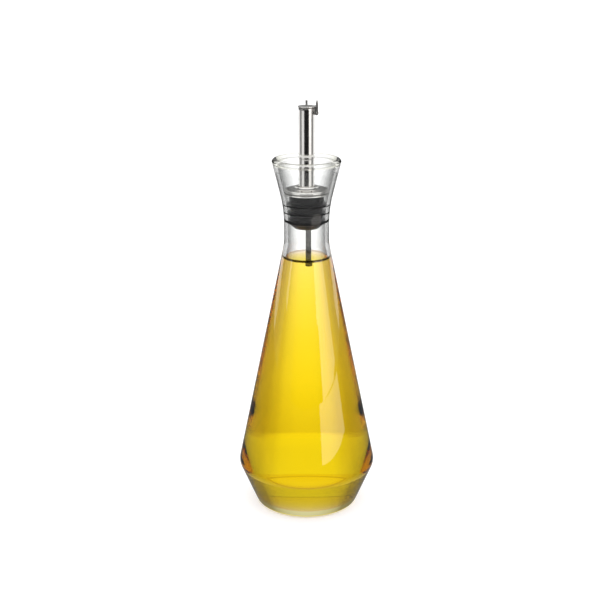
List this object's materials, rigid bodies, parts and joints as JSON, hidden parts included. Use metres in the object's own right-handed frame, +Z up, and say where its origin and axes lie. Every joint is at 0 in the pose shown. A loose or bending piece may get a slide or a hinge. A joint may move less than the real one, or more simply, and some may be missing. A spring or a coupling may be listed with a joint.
{
  "type": "oil and vinegar dispenser",
  "caption": "Clear glass oil dispenser with a conical body and flared neck, a finned rubber stopper and a steel pouring spout under a hinged flap.",
  "frame": {"origin": "centre of the bottle's base, on the surface it stands on", "axes": "+Z up along the bottle's axis, +X towards the flap's hinge, the picture's camera is on the -Y side"},
  "size_m": [0.0758, 0.0758, 0.2266],
  "materials": {
    "clear_glass": "polished clear glass",
    "golden_oil": "clear yellow cooking oil",
    "black_rubber": "satin moulded rubber",
    "polished_steel": "polished stainless steel"
  },
  "bodies": {
    "dispenser": {"bottle": "clear_glass", "oil": "golden_oil", "stopper": "black_rubber", "cap": "polished_steel", "spout_tube": "polished_steel", "dip_tube": "polished_steel", "hinge_pin": "polished_steel"},
    "spout_flap": {"flap": "polished_steel"}
  },
  "joints": [
    {"name": "flap_hinge", "type": "hinge", "parent": "dispenser", "child": "spout_flap", "pos_m": [0.00515, 0, 0.2207], "axis": [0, 1, 0], "range_deg": [0, 55]}
  ]
}
